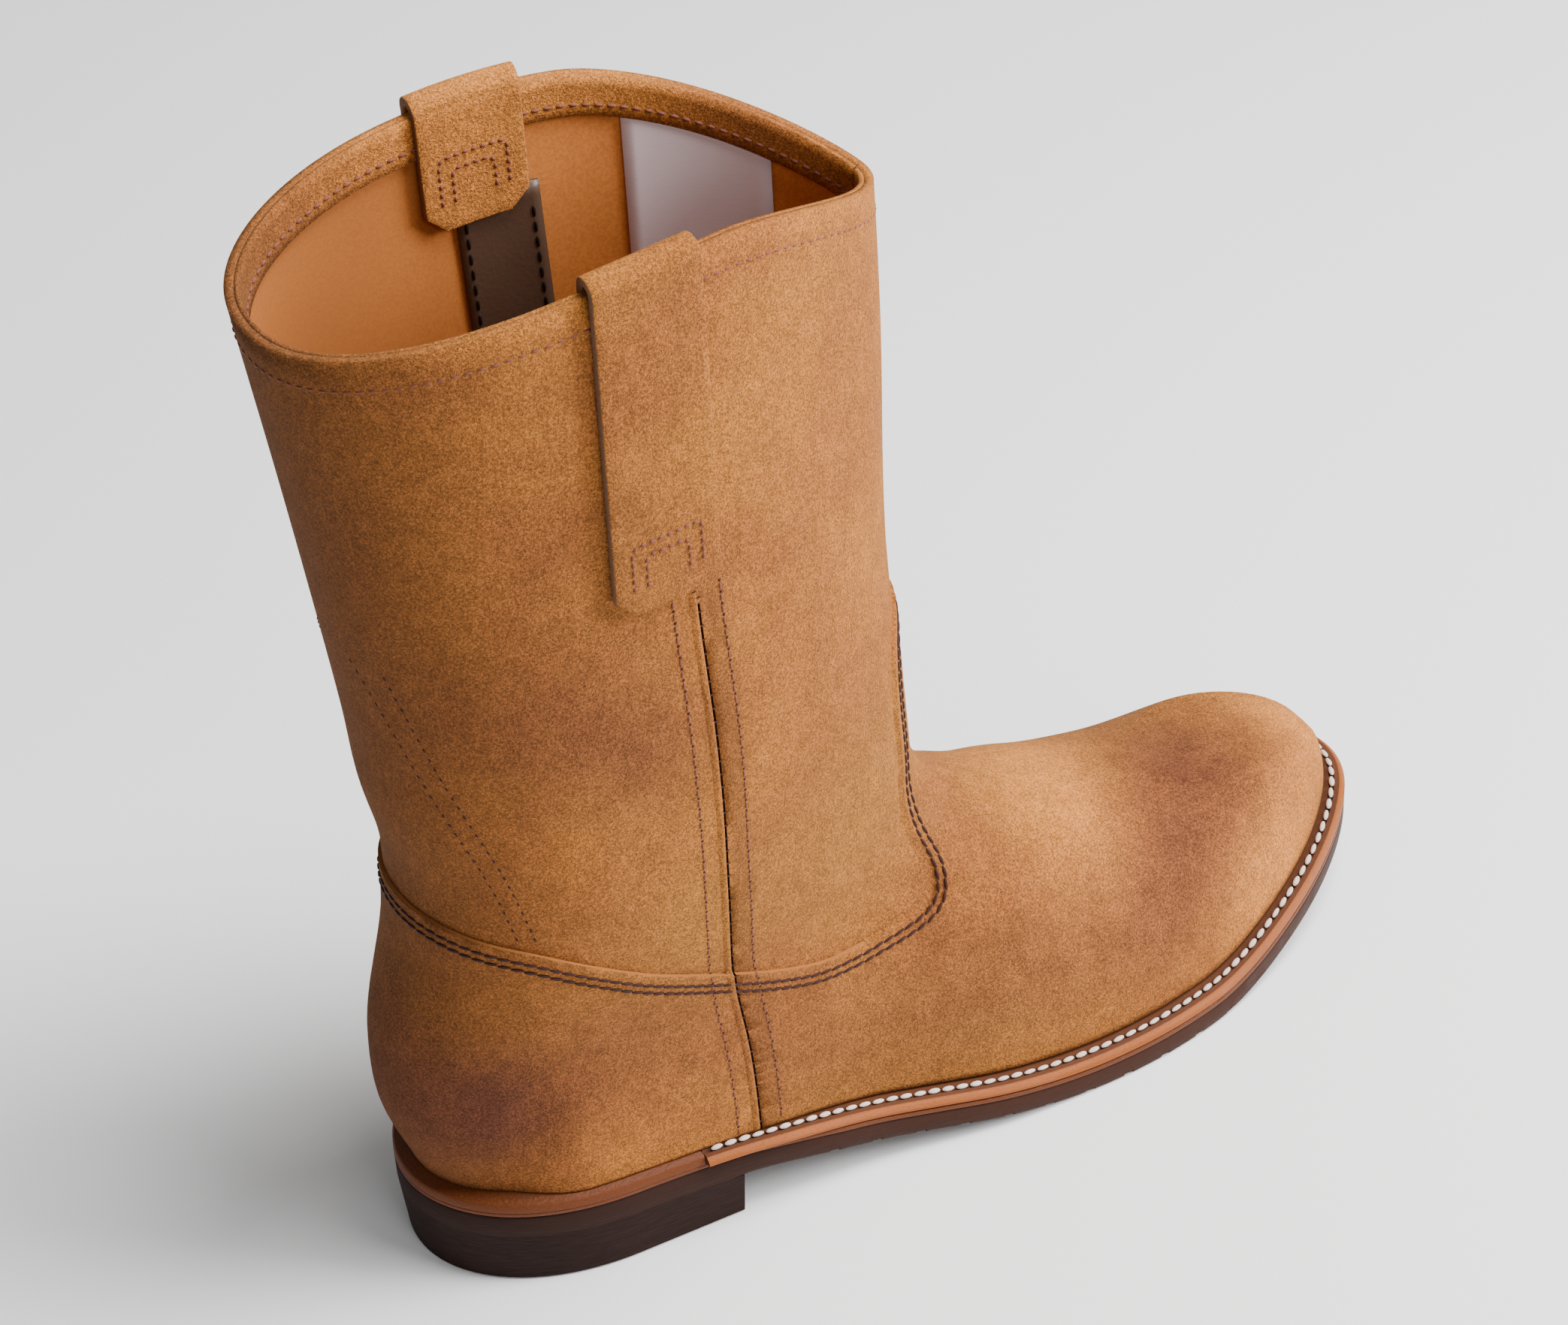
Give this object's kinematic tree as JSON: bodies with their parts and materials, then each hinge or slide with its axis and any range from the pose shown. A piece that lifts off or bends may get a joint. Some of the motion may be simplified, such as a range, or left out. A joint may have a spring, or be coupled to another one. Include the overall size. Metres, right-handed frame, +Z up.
{
  "type": "western work boot",
  "caption": "Pull-on western work boot, right foot: tall suede shaft open at a scalloped collar, lapped vamp and counter, welted flat sole with toe spring, block heel and two pull straps.",
  "frame": {"origin": "centre of the heel's flat rest face, on the floor the boot stands on", "axes": "+X to the toe along the foot, +Y to the inner side of the foot, +Z up the shaft"},
  "size_m": [0.308, 0.1051, 0.3037],
  "materials": {
    "suede": "tan roughout suede, matt and napped",
    "strap_suede": "tan roughout suede strap with dark cut edges",
    "welt_leather": "waxed leather welt with a dark top and an orange tan edge",
    "midsole_leather": "smooth waxed orange tan leather",
    "insole_leather": "smooth tan leather board",
    "outsole_rubber": "dark brown rubber, satin",
    "heel_rubber": "dark brown rubber with fine brushed lines"
  },
  "bodies": {
    "root": {"upper": "suede", "pull_strap_lateral": "strap_suede", "pull_strap_medial": "strap_suede", "welt": "welt_leather", "midsole": "midsole_leather", "insole": "insole_leather", "outsole": "outsole_rubber", "heel": "heel_rubber"}
  },
  "joints": []
}
